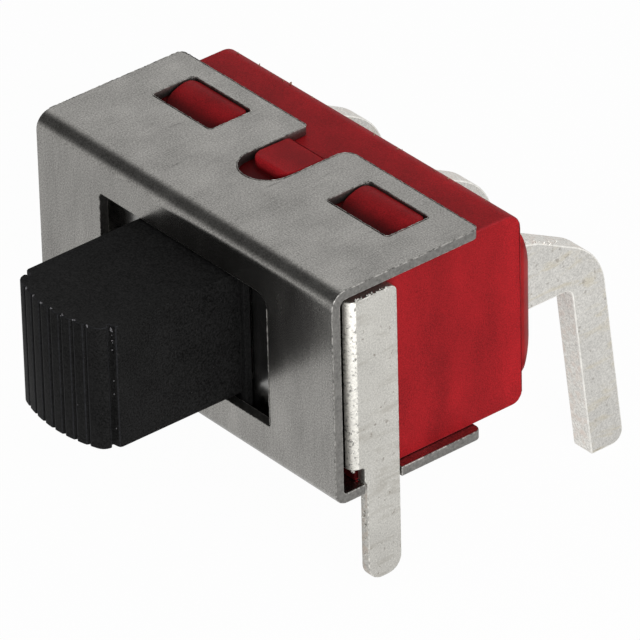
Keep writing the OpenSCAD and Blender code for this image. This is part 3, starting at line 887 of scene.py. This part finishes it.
class SlideSwitchSheet(bpy.types.PropertyGroup):
    """Cover and bracket: sheet, edges and tones"""

    thickness: FloatProperty(
        name="Thickness",
        description="Thickness of the cover's sheet",
        default=0.3 * MM,
        min=0.1 * MM,
        precision=5,
        unit="LENGTH",
    )
    fold: FloatProperty(
        name="Fold radius",
        description="Outside radius of the cover's folds",
        default=0.5 * MM,
        precision=5,
        unit="LENGTH",
    )
    edge: FloatProperty(
        name="Rolled edge",
        description="Radius of the edge that punching and tumbling leave on the sheet",
        default=0.03 * MM,
        precision=6,
        unit="LENGTH",
    )
    burr: FloatProperty(
        name="Burr",
        description="Radius of the ridge that the punch raises along a cut edge",
        default=0.013 * MM,
        precision=6,
        unit="LENGTH",
    )
    window_low: FloatProperty(
        name="Window, low",
        description="Height of the front window's lower edge",
        default=1.27 * MM,
        precision=5,
        unit="LENGTH",
    )
    window_high: FloatProperty(
        name="Window, high",
        description="Height of the front window's upper edge",
        default=5.42 * MM,
        precision=5,
        unit="LENGTH",
    )
    steel: FloatVectorProperty(
        name="Steel",
        description="Tone of the cover's satin stainless sheet",
        default=linear("#9e9c98"),
        subtype="COLOR",
    )
    tin: FloatVectorProperty(
        name="Tin",
        description="Tone of the dull tin plate on the bracket",
        default=linear("#c6c4be"),
        subtype="COLOR",
    )
    tears: IntProperty(
        name="Tears",
        description="Torn crumbs on each cut edge of the bracket",
        default=40,
        min=0,
    )


class SlideSwitchKnob(bpy.types.PropertyGroup):
    """Knob: edges, burrs and colour"""

    edge: FloatProperty(
        name="Moulded edge",
        description="Radius of the knob's moulded edges",
        default=0.022 * MM,
        precision=6,
        unit="LENGTH",
    )
    burrs: IntProperty(
        name="Burrs",
        description="Burrs on top of the ribbed front",
        default=64,
        min=0,
    )
    burr_size: FloatProperty(
        name="Burr size",
        description="Radius of a burr",
        default=0.026 * MM,
        precision=6,
        unit="LENGTH",
    )
    black: FloatVectorProperty(
        name="Black",
        description="Colour of the nylon",
        default=linear("#181818"),
        subtype="COLOR",
    )


class SlideSwitchBody(bpy.types.PropertyGroup):
    """Housing, potting and terminals"""

    edge: FloatProperty(
        name="Moulded edge",
        description="Radius of the housing's moulded edges",
        default=0.05 * MM,
        precision=6,
        unit="LENGTH",
    )
    crumbs: IntProperty(
        name="Flash crumbs",
        description="Crumbs of moulding flash along the rear edge",
        default=26,
        min=0,
    )
    red: FloatVectorProperty(
        name="Red",
        description="Colour of the thermoset",
        default=linear("#98181e"),
        subtype="COLOR",
    )
    potting: FloatVectorProperty(
        name="Potting",
        description="Colour of the epoxy",
        default=linear("#961c1f"),
        subtype="COLOR",
    )
    terminal: FloatVectorProperty(
        name="Terminal",
        description="Tone of the plating on the terminals",
        default=linear("#d0cec9"),
        subtype="COLOR",
    )


class SlideSwitchStudio(bpy.types.PropertyGroup):
    """Floor, lights and camera"""

    floor: FloatVectorProperty(
        name="Floor",
        description="Colour of the floor",
        default=linear("#eeeeee"),
        subtype="COLOR",
    )
    sky: FloatProperty(name="Sky", description="Level of the even light", default=0.42)
    key: FloatProperty(
        name="Key",
        description="Radiance of the softbox on the right",
        default=3.8,
    )
    lens: FloatProperty(
        name="Focal length",
        description="Focal length of the camera",
        default=461.8,
        unit="CAMERA",
    )


class SlideSwitchSettings(bpy.types.PropertyGroup):
    """Everything a user would change"""

    sheet: PointerProperty(type=SlideSwitchSheet)
    knob: PointerProperty(type=SlideSwitchKnob)
    body: PointerProperty(type=SlideSwitchBody)
    studio: PointerProperty(type=SlideSwitchStudio)


def settings():
    """The scene's settings."""
    return bpy.context.scene.slide_switch


# Pieces


class BuildCover(bpy.types.Operator):
    """Folded stainless cover with satin faces, punched walls and rubbed edges"""

    bl_idname = "slide_switch.cover"
    bl_label = "Cover"

    def execute(self, context):
        sheet = settings().sheet
        thick, fold = sheet.thickness / MM, sheet.fold / MM
        low, high = sheet.window_low / MM, sheet.window_high / MM
        rear, end, top = COVER_HIGH.y / MM, COVER_HIGH.x / MM, COVER_HIGH.z / MM
        satin, cut, worn = range(3)
        # A cut wall has its middle inside the sheet, at least this far under both faces
        skin = 0.02

        def choose(at, facing, edge):
            if edge:
                return worn
            across_x, across_y, across_z = (abs(v) > 0.35 for v in facing)
            if across_x:
                return cut
            in_upper, in_lower = top - thick + skin < at.z < top - skin, skin < at.z < thick - skin
            if across_y and (in_upper or in_lower) and at.y > fold:
                return cut
            at_window = skin < at.y < thick - skin and low - 0.05 < at.z < high + 0.05
            return cut if across_z and at_window else satin

        bm = merged("cover")
        self.sharpen_corner(bm, high, thick)
        points, edges = self.punched_edges(bm)
        rubbed = rubbed_edge("rubbed_stainless_edge", sheet.steel, 0.35, 1.35)
        grown(
            "cover_burr",
            burr_tree(),
            points,
            {
                "Radius": sheet.burr,
                "Unevenness": sheet.burr * 0.6,
                "Step": 0.05 * MM,
                "Seed": 3,
                "Material": rubbed,
            },
            "base",
            edges=edges,
        )
        dress(
            eased("cover", "cover_sheet", sheet.edge, bm=bm),
            "base",
            "steel_cover",
            [cold_rolled_stainless(sheet.steel), sheared_stainless(sheet.steel), rubbed],
            choose,
            ["cover"],
        )
        # Crumbs of flash caught under the rim of the upper flange, on both sides of the notch
        rim = top - thick
        grown(
            "cover_rim_crumbs",
            crumb_tree(),
            strewn([(1.2, rear, rim), (end - 0.2, rear, rim)], 9, 0.05, 4)
            + strewn([(1.0 - end, rear, rim), (-1.2, rear, rim)], 5, 0.05, 8),
            {"Size": 0.04 * MM, "Length": 2.2, "Seed": 2, "Material": moulding_flash()},
            "base",
        )
        return {"FINISHED"}

    def sharpen_corner(self, bm, high, thick):
        """Shrinks the arc of the window's upper left corner, which the punch left sharper."""
        corner = Vector((-WINDOW_HALF, 0, high)) * MM
        reach, near, share = (WINDOW_ARC + TOUCH) * MM, TOUCH * MM, 0.25
        for vert in bm.verts:
            out = vert.co - corner
            on_arc = -near <= out.x <= reach and -reach <= out.z <= near
            if on_arc and vert.co.y < (thick + 0.01) * MM:
                vert.co = Vector((corner.x + out.x * share, vert.co.y, corner.z + out.z * share))

    def punched_edges(self, bm):
        """Edges that a ridge stands on: the upper flange's openings and the window's right side."""
        points, edges = [], []
        for edge in sharp_edges(bm):
            ends = [v.co.copy() for v in edge.verts]
            on_top = all(abs(v.z - COVER_HIGH.z) < TOUCH * MM for v in ends)
            on_front = all(abs(v.y - COVER_LOW.y) < TOUCH * MM for v in ends)
            at_window = on_front and all(v.x > (WINDOW_HALF - 0.01) * MM for v in ends)
            if on_top or at_window:
                # Sunk a little, so that the ridge grows out of the sheet
                inward = sum((f.calc_center_median() - ends[0] for f in edge.link_faces), Vector())
                inward = inward.normalized() * 0.012 * MM
                edges.append((len(points), len(points) + 1))
                points += [v + inward for v in ends]
        return points, edges


class BuildBracket(bpy.types.Operator):
    """U bracket of tin-plated strip: bright web, bends with a painted highlight, wiped arms, torn edges"""

    bl_idname = "slide_switch.bracket"
    bl_label = "Bracket"

    def execute(self, context):
        sheet = settings().sheet
        end, top = BRACKET_HIGH.x / MM, BRACKET_HIGH.z / MM
        web, rear = BRACKET_LOW.y / MM, BRACKET_HIGH.y / MM
        inner = end - STRIP
        flat, cut, bright, bend, worn = range(5)

        def choose(at, facing, edge):
            if edge:
                return worn
            if abs(facing.z) > 0.4:
                return cut
            # The outside of both bends lies within 0.4 mm of the web's front, the web itself
            # between the arms, and the walls of its slot well inside them
            # Faces on the outside of the bends that face the front get the painted highlight
            if abs(facing.x) > 0.08 and facing.y < -0.2 and at.y < web + 0.4:
                return bend
            if abs(at.x) < inner - 0.05 and abs(facing.y) > 0.6:
                return bright
            leg_edge = abs(facing.y) > 0.6 and at.y > web + 0.36
            slot_wall = abs(facing.x) > 0.6 and abs(at.x) < inner - 1
            return cut if leg_edge or slot_wall else flat

        metals = {
            flat: tin_plate("tin_plated_strip", sheet.tin, "#aaa69d", 0.5, 0.55),
            cut: sheared_strip("sheared_tin_strip", sheet.tin, "#bfae9f"),
            bright: bright_strip(),
            bend: bend_painted_highlight(sheet.tin),
            worn: rubbed_edge("rubbed_tin_edge", sheet.tin, 0.7, 1.4),
        }
        dress(
            eased("bracket", "bracket_strip", sheet.edge),
            "base",
            "tinned_steel",
            list(metals.values()),
            choose,
            ["bracket"],
        )
        # Torn metal standing along the cut edges of both arms and the fronts of both legs
        points = []
        for side in (-1, 1):
            x = side * (end - 0.05)
            arm_top = [(x, web + 0.2, top - 0.01), (x, rear - 0.3, top - 0.01)]
            points += strewn(arm_top, sheet.tears, 0.045, 11)
            x = side * (end - 0.15)
            arm_foot = [(x, web + 0.1, ARM_FOOT), (x, web + 0.45, ARM_FOOT)]
            points += strewn(arm_foot, sheet.tears // 4, 0.06, 12)
            leg_front = [(x, LEG_FRONT, 0.2), (x, LEG_FRONT, -2.2)]
            points += strewn(leg_front, sheet.tears // 3, 0.05, 13)
        for point in points:
            point.x = max(min(point.x, BRACKET_HIGH.x), BRACKET_LOW.x)
            point.y = max(point.y, BRACKET_LOW.y)
            point.z = min(point.z, BRACKET_HIGH.z)
        grown(
            "bracket_torn_edges",
            crumb_tree(),
            points,
            {"Size": 0.048 * MM, "Length": 1.6, "Seed": 6, "Material": torn_tin(sheet.tin)},
            "base",
        )
        return {"FINISHED"}


def latch_barrel(middle):
    """The rounded ramp of a latch wedge, laid over the solid one: a closed loft along Y."""
    # Depths of its toe, crown and back, half its width, its rise over the roof, how much it falls
    # off again at the back, and its foot, sunk in the roof
    toe, crown, back, half = 3.2, 4.25, 4.54, 1.22
    rise, fall, foot = 0.302, 0.07, HOUSING_ROOF - 0.08
    # Radii of its long edges, and of its corners at the toe and at the back seen from above
    shoulder, toe_corner, back_corner = 0.06, 0.6, 0.27
    sections, steps = 26, 4
    bm = bmesh.new()
    rings = []
    for i in range(sections + 1):
        y = (toe + back) / 2 - (back - toe) / 2 * math.cos(math.pi * i / sections)
        corner = toe_corner if y < crown - 0.3 else back_corner
        into_corner = corner - min(y - toe, back - y, corner)
        side = half - corner + math.sqrt(max(corner**2 - into_corner**2, 0))
        if y < crown:
            top = HOUSING_ROOF + rise * math.sin(math.pi / 2 * (y - toe) / (crown - toe)) ** 1.8
        else:
            top = HOUSING_ROOF + rise - fall * ((y - crown) / (back - crown)) ** 2
        right = [(side, foot)]
        for k in range(steps + 1):
            turn = math.pi / 2 * k / steps
            inward, down = shoulder * (1 - math.cos(turn)), shoulder * (1 - math.sin(turn))
            right.append((side - inward, top - down))
        outline = right + [(-x, z) for x, z in reversed(right)]
        rings.append([bm.verts.new(Vector((middle + x, y, z)) * MM) for x, z in outline])
    for near, far in zip(rings, rings[1:]):
        for k in range(len(near)):
            bm.faces.new((near[k - 1], near[k], far[k], far[k - 1]))
    bm.faces.new(rings[0])
    bm.faces.new(rings[-1])
    bmesh.ops.recalc_face_normals(bm, faces=bm.faces)
    mesh = bpy.data.meshes.new("latch_barrel")
    bm.to_mesh(mesh)
    bm.free()
    for face in mesh.polygons:
        face.use_smooth = len(face.vertices) == 4
    return mesh


class BuildHousing(bpy.types.Operator):
    """Red moulded housing with its latch wedges, rubbed edges and a trace of flash"""

    bl_idname = "slide_switch.housing"
    bl_label = "Housing"

    def execute(self, context):
        body = settings().body
        moulded = moulded_thermoset(body.red)
        for side, middle in (("left", -WEDGE_MIDDLE), ("right", WEDGE_MIDDLE)):
            piece = link(f"latch_barrel_{side}", latch_barrel(middle))
            dress(piece, "base", "red_moulding", [moulded])
        plain, rubbed = range(2)

        def choose(at, facing, edge):
            # The sheet shields the front rim and the wedges in its windows from wear
            shielded = at.y <= 2.3 or (at.z >= HOUSING_ROOF + 0.01 and at.y <= 4.4)
            return rubbed if edge and not shielded else plain

        dress(
            eased("housing", "housing_moulding", body.edge, segments=3),
            "base",
            "red_moulding",
            [moulded, rubbed_thermoset(body.red)],
            choose,
            ["housing"],
        )
        # The parting line follows the rounded upper rear edge, a little behind its top
        lean, radius = math.radians(24), 0.55
        y = HOUSING_HIGH.y / MM - radius + radius * math.sin(lean)
        z = HOUSING_ROOF - radius + radius * math.cos(lean)
        x = HOUSING_HIGH.x / MM - 0.3
        grown(
            "housing_flash",
            crumb_tree(),
            strewn([(-x, y, z), (x, y, z)], body.crumbs, 0.04, 5),
            {"Size": 0.032 * MM, "Length": 2.0, "Seed": 5, "Material": moulding_flash()},
            "base",
        )
        return {"FINISHED"}


class BuildKnob(bpy.types.Operator):
    """Ribbed black knob with its lip, neck and carriage, and the burrs on its ribs"""

    bl_idname = "slide_switch.knob"
    bl_label = "Knob"

    def execute(self, context):
        knob = settings().knob
        front, top, side = KNOB_LOW.y / MM, KNOB_TOP, KNOB_SIDE
        # The eased edges of the ribbed front take the nylon with the painted bluish glint
        dress(
            eased("actuator", "knob_moulding", knob.edge, corner="MITER_SHARP"),
            "slider",
            "black_nylon",
            [moulded_nylon(knob.black), rubbed_nylon_painted_glint(knob.black)],
            lambda at, facing, edge: int(edge and at.y < KNOB_RIBS_END),
            ["actuator"],
        )
        # Burrs where each rib of the curved front meets the top
        points = []
        for i in range(-3, 4):
            turn = math.asin((i * RIB_PITCH + 0.09) / KNOB_RADIUS)
            y = front + KNOB_RADIUS * (1 - math.cos(turn)) + 0.02
            corner = (KNOB_RADIUS * math.sin(turn), y, top)
            points += strewn([corner, corner], knob.burrs // 12, 0.028, 20 + i)
        # More down the front edge of the right side, and three on the ribs
        shoulder = [(side, front + 0.62, top), (side, front + 0.64, top - 0.45)]
        points += strewn(shoulder, knob.burrs // 7, 0.03, 31)
        points += strewn([shoulder[1], (side, front + 0.64, 1.6)], knob.burrs // 16, 0.02, 32)
        points += strewn([(0.9, front + 0.1, 3.4), (1.0, front + 0.12, 2.2)], 3, 0.05, 33)
        grown(
            "knob_burrs",
            crumb_tree(),
            points,
            {"Size": knob.burr_size, "Length": 1.5, "Seed": 9, "Material": nylon_burr()},
            "slider",
        )
        return {"FINISHED"}


class BuildTerminals(bpy.types.Operator):
    """Three blanked terminals with torn edges, and their contact buttons"""

    bl_idname = "slide_switch.terminals"
    bl_label = "Terminals"

    def execute(self, context):
        body = settings().body
        pale = [min(v * 1.4, 0.95) for v in body.terminal]
        flat, cut, worn = range(3)
        metals = {
            flat: tin_plate("tin_plated_copper", body.terminal, "#cbbfa0", 0.35, 0.4),
            cut: sheared_strip("sheared_copper_strip", pale, "#e6d6cb"),
            worn: rubbed_edge("rubbed_terminal_edge", pale, 0.9, 1.1),
        }
        # Silver plate: pale and bright where the contacts touch
        silver = inner_metal("silver_plate", "#e6e4df", "#c8c5bd", 0.25)

        def choose(at, facing, edge):
            if edge:
                return worn
            return flat if abs(facing.x) > 0.8 else cut

        points = []
        for number, side in enumerate(("left", "centre", "right")):
            dress(
                eased(f"terminal_{side}", f"terminal_blank_{side}", 0.04 * MM),
                "base",
                "tinned_copper",
                list(metals.values()),
                choose,
                [f"terminal_{side}"],
            )
            # Over the outer bend, along the upper edge of its right face
            x = (number - 1) * TERMINAL_PITCH
            path = [(x + 0.3, 7.25, 4.6), (x + 0.34, 8.3, 4.42), (x + 0.36, 9.0, 4.1)]
            points += strewn(path, 26, 0.05, 40 + number)
        grown(
            "terminal_torn_edges",
            crumb_tree(),
            points,
            {"Size": 0.045 * MM, "Length": 1.7, "Seed": 7, "Material": metals[worn]},
            "base",
        )
        for side in ("left", "right"):
            dress(
                eased(f"contact_{side}", f"contact_button_{side}", 0.03 * MM),
                "base",
                "silver_contact",
                [silver],
                stands_for=[f"contact_{side}"],
            )
        return {"FINISHED"}


class BuildSeal(bpy.types.Operator):
    """Domed potting on the back of the housing"""

    bl_idname = "slide_switch.seal"
    bl_label = "Seal"

    def execute(self, context):
        dress(
            eased("seal", "seal_potting", 0.01 * MM, segments=1, corner="MITER_SHARP"),
            "base",
            "red_epoxy",
            [epoxy_potting(settings().body.potting)],
            stands_for=["seal"],
        )
        return {"FINISHED"}


class BuildMechanism(bpy.types.Operator):
    """Plunger, spring and rocker inside the housing"""

    bl_idname = "slide_switch.mechanism"
    bl_label = "Mechanism"

    def execute(self, context):
        # Rolled beryllium copper: warm and smooth, with the rolls' fine grain
        alloy = inner_metal("rolled_beryllium_copper", "#c98f68", "#a9714c", 0.3)
        # Silver rivet heads: pale and bright
        silver = inner_metal("silver_rivet", "#e6e4df", "#c8c5bd", 0.25)
        # Turned brass: yellow with a crisp shine
        brass = inner_metal("turned_brass", "#cfa961", "#b08a45", 0.22)
        # Drawn music wire: grey with a long highlight on each turn
        steel = inner_metal("drawn_music_wire", "#b8b8ba", "#8c8c90", 0.22)
        solids = (
            ("rocker", "rocker_plate", "contact_rocker", "contact_alloy", alloy),
            ("rocker_contact_left", "rocker_button_left", "contact_rocker", "silver_contact", silver),
            ("rocker_contact_right", "rocker_button_right", "contact_rocker", "silver_contact", silver),
            ("plunger", "plunger_pin", "detent", "plunger_brass", brass),
        )
        for node, name, body, slot, metal in solids:
            dress(eased(node, name, 0.02 * MM), body, slot, [metal], stands_for=[node])
        low, high = SPRING_LOW, SPRING_HIGH
        wire, slack, stroke = 0.06 * MM, 0.03 * MM, 0.3 * MM
        coil = grown(
            "spring_coil",
            coil_tree(),
            [(0.0, 0.0, 0.0)],
            {
                "Turns": 6.0,
                "Radius": (high.x - low.x) / 2 - wire,
                "Height": high.y - low.y - 2 * wire - slack,
                "Wire": wire,
                "Start": ((high.x + low.x) / 2, low.y + wire, (high.z + low.z) / 2),
                "Material": steel,
            },
            "slider",
            stands_for=["spring"],
        )
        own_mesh(coil)
        return {"FINISHED"}


# Stage


def softbox(name, place, aim, width, height, radiance):
    """A square softbox of a given radiance, aimed at a point; places and sizes in millimetres."""
    light = bpy.data.lights.new(name, "AREA")
    light.shape = "RECTANGLE"
    light.size = width * MM
    light.size_y = height * MM
    light.energy = radiance * math.pi * light.size * light.size_y
    lamp = bpy.data.objects.new(name, light)
    bpy.context.scene.collection.objects.link(lamp)
    start = Vector(place) * MM
    lamp.location = start
    lamp.rotation_euler = (Vector(aim) * MM - start).to_track_quat("-Z", "Y").to_euler()
    lamp.visible_camera = False
    return lamp


def studio_world(level):
    """White room for the camera; metal sees it too, dimmer on the left and dark in one zone."""
    world = bpy.data.worlds.new("White studio")
    world.use_nodes = True
    tree = world.node_tree
    tree.nodes.clear()
    path = add(tree, "ShaderNodeLightPath").outputs
    place = add(tree, "ShaderNodeTexCoord").outputs["Generated"]
    axes = add(tree, "ShaderNodeSeparateXYZ", {"Vector": place}).outputs
    side = add(tree, "ShaderNodeMapRange", {"Value": axes["X"]}, span(-0.66, 0.66, 0.76, 0.95))
    # The unlit end of the room lies high in front, left of the camera
    unlit = (-0.66, -0.44, 0.61)
    toward = add(tree, "ShaderNodeVectorMath", {0: place}, {1: unlit}, operation="DOT_PRODUCT")
    gloom = add(
        tree, "ShaderNodeMapRange", {"Value": toward.outputs["Value"]}, span(0.7, 0.94, 1.0, 0.12)
    )
    room = add(tree, "ShaderNodeMath", {0: side, 1: gloom}, operation="MULTIPLY")
    seen = add(
        tree,
        "ShaderNodeMath",
        {0: path["Is Glossy Ray"], 1: path["Is Transmission Ray"]},
        operation="MAXIMUM",
    )
    bounced = add(tree, "ShaderNodeMix", {"Factor": seen, "B": room}, {"A": level}, data_type="FLOAT")
    strength = add(
        tree,
        "ShaderNodeMix",
        {"Factor": path["Is Camera Ray"], "A": bounced},
        {"B": 1.0},
        data_type="FLOAT",
    )
    background = add(tree, "ShaderNodeBackground", {"Strength": strength}, {"Color": (1, 1, 1, 1)})
    add(tree, "ShaderNodeOutputWorld", {"Surface": background})
    bpy.context.scene.world = world


def white_board(colour):
    """Floor: matt white board, with the faint shadow of the switch."""
    # Matt white board: seen white by the camera and by metal, a little dimmer on the left, with
    # a trace of its own shading left so that the shadow stays
    material = bpy.data.materials.new("matt_white_board")
    material.use_nodes = True
    tree = material.node_tree
    tree.nodes.clear()
    path = add(tree, "ShaderNodeLightPath").outputs
    place = add(tree, "ShaderNodeTexCoord").outputs["Object"]
    axes = add(tree, "ShaderNodeSeparateXYZ", {"Vector": place}).outputs
    side = add(tree, "ShaderNodeMapRange", {"Value": axes["X"]}, span(-2 * MM, 12 * MM, 0.7, 1.0))
    glossy = add(
        tree,
        "ShaderNodeMath",
        {0: path["Is Glossy Ray"], 1: path["Is Transmission Ray"]},
        operation="MAXIMUM",
    )
    strength = add(tree, "ShaderNodeMix", {"Factor": glossy, "B": side}, {"A": 1.0}, data_type="FLOAT")
    seen = add(tree, "ShaderNodeMath", {0: path["Is Camera Ray"], 1: glossy}, operation="MAXIMUM")
    part = add(tree, "ShaderNodeMath", {0: seen}, {1: 0.97}, operation="MULTIPLY")
    matt = add(tree, "ShaderNodeBsdfDiffuse", values={"Color": (*colour, 1)})
    glow = add(tree, "ShaderNodeEmission", {"Strength": strength}, {"Color": (1, 1, 1, 1)})
    mixed = add(tree, "ShaderNodeMixShader", {0: part, 1: matt, 2: glow})
    add(tree, "ShaderNodeOutputMaterial", {"Surface": mixed})
    return material


class BuildStage(bpy.types.Operator):
    """White floor, soft lights and the camera"""

    bl_idname = "slide_switch.stage"
    bl_label = "Stage"

    def execute(self, context):
        studio = settings().studio
        scene = bpy.context.scene
        scene.view_settings.view_transform = "Standard"
        studio_world(studio.sky)
        # The floor is 8 m across and lies just under the lowest tip of the terminals
        bm = bmesh.new()
        bmesh.ops.create_circle(bm, cap_ends=True, radius=4.0, segments=64)
        bmesh.ops.translate(bm, verts=bm.verts, vec=(0, 0, cad_box[0][2] - 0.02 * MM))
        mesh = bpy.data.meshes.new("floor")
        bm.to_mesh(mesh)
        bm.free()
        mesh.materials.append(white_board(tuple(studio.floor)))
        link("floor", mesh)
        # The key stands on the right. The fill stands in front, and no metal mirrors it
        softbox("key_softbox", (95, -30, 45), (2, 2, 2), 90, 70, studio.key)
        fill = softbox("fill_softbox", (-40, -90, 60), (0, 0, 2), 60, 60, 0.5)
        fill.visible_glossy = False
        camera = bpy.data.cameras.new("camera")
        camera.lens = studio.lens
        camera.sensor_width = 36
        camera.sensor_fit = "HORIZONTAL"
        camera.clip_start = 0.01
        camera.clip_end = 20
        eye = bpy.data.objects.new("camera", camera)
        scene.collection.objects.link(eye)
        # Fitted to the photograph's straight edges: place in millimetres, turn in degrees
        place, turn = (149.265, -116.641, 122.403), (57.742, 1.192, 50.125)
        eye.location = Vector(place) * MM
        eye.rotation_euler = [math.radians(angle) for angle in turn]
        scene.camera = eye
        return {"FINISHED"}


# Panel and main


class SlideSwitchPanel(bpy.types.Panel):
    """Buttons and settings in the sidebar"""

    bl_idname = "VIEW3D_PT_slide_switch"
    bl_label = "Slide switch"
    bl_space_type = "VIEW_3D"
    bl_region_type = "UI"
    bl_category = "Slide switch"

    def draw(self, context):
        layout = self.layout
        for step in STEPS:
            layout.operator(step.bl_idname)
        for group in (settings().sheet, settings().knob, settings().body, settings().studio):
            box = layout.box()
            for key in group.bl_rna.properties.keys():
                if key not in ("rna_type", "name"):
                    box.prop(group, key)


GROUPS = (
    SlideSwitchSheet,
    SlideSwitchKnob,
    SlideSwitchBody,
    SlideSwitchStudio,
    SlideSwitchSettings,
)
STEPS = (
    BuildStage,
    BuildCover,
    BuildBracket,
    BuildHousing,
    BuildKnob,
    BuildTerminals,
    BuildSeal,
    BuildMechanism,
)


def register():
    """Registers the classes and gives the scene its settings."""
    for item in (*GROUPS, *STEPS, SlideSwitchPanel):
        bpy.utils.register_class(item)
    bpy.types.Scene.slide_switch = PointerProperty(type=SlideSwitchSettings)


def unregister():
    """Takes both away again."""
    del bpy.types.Scene.slide_switch
    for item in reversed((*GROUPS, *STEPS, SlideSwitchPanel)):
        bpy.utils.unregister_class(item)


def main():
    """Builds the stage and every piece."""
    register()
    for step in STEPS:
        area, name = step.bl_idname.split(".")
        getattr(getattr(bpy.ops, area), name)()


if __name__ == "__main__":
    main()
